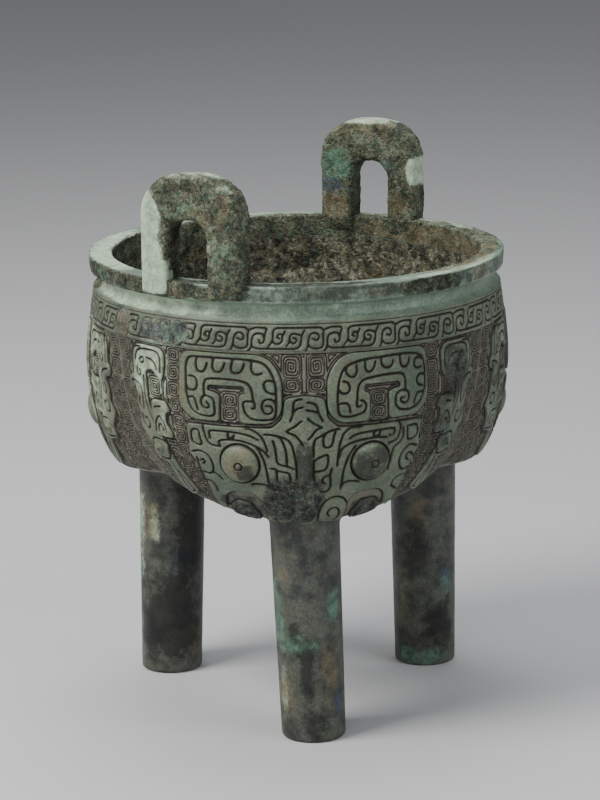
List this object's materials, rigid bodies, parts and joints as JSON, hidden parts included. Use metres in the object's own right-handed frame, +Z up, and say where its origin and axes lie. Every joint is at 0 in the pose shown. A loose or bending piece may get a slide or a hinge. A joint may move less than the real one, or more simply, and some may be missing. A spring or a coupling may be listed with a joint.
{
  "type": "ritual cooking vessel",
  "caption": "Lobed bronze cooking vessel: round bowl with flat rim, upright loop handles and cylindrical legs, with animal masks in relief.",
  "frame": {"origin": "on the floor under the middle of the vessel's box, in the plane of the feet; the bowl's own axis stands 0.4 mm to -X and 2.9 mm to +Y of it", "axes": "+Z up out of the bowl's mouth; -Y towards the lobe and leg that stand alone; handles near +X and -X"},
  "size_m": [0.1846, 0.1838, 0.2412],
  "materials": {
    "bronze": "cast bronze under green, blue and brown patina, pale on the raised relief and dark in its grooves"
  },
  "bodies": {
    "root": {"vessel": "bronze"}
  },
  "joints": []
}
